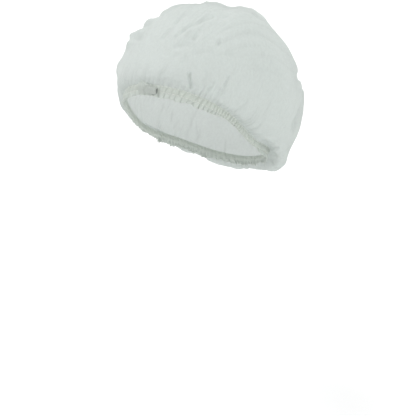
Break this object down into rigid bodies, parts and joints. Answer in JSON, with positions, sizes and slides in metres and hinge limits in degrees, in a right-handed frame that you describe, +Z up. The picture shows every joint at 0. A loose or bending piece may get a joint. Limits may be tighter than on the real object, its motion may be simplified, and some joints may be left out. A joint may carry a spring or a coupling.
{
  "type": "mob cap",
  "caption": "Disposable round mob cap of thin gathered nonwoven cloth, puffed over the crown and nape, with an elastic folded hem and a bunched join at the front.",
  "frame": {"origin": "in the head opening, midway between the wearer's ears, where the head sits", "axes": "+Z up, -Y the way the face looks, +X the wearer's left"},
  "size_m": [0.2216, 0.2596, 0.2244],
  "materials": {
    "nonwoven": "thin white spunbond nonwoven, translucent and matt",
    "folded_nonwoven": "the same cloth folded double over the elastic and gathered, matt",
    "latex": "cream latex strip, satin"
  },
  "bodies": {
    "root": {"crown": "nonwoven", "hem_casing": "folded_nonwoven", "elastic_band": "latex", "hem_join": "folded_nonwoven"}
  },
  "joints": []
}
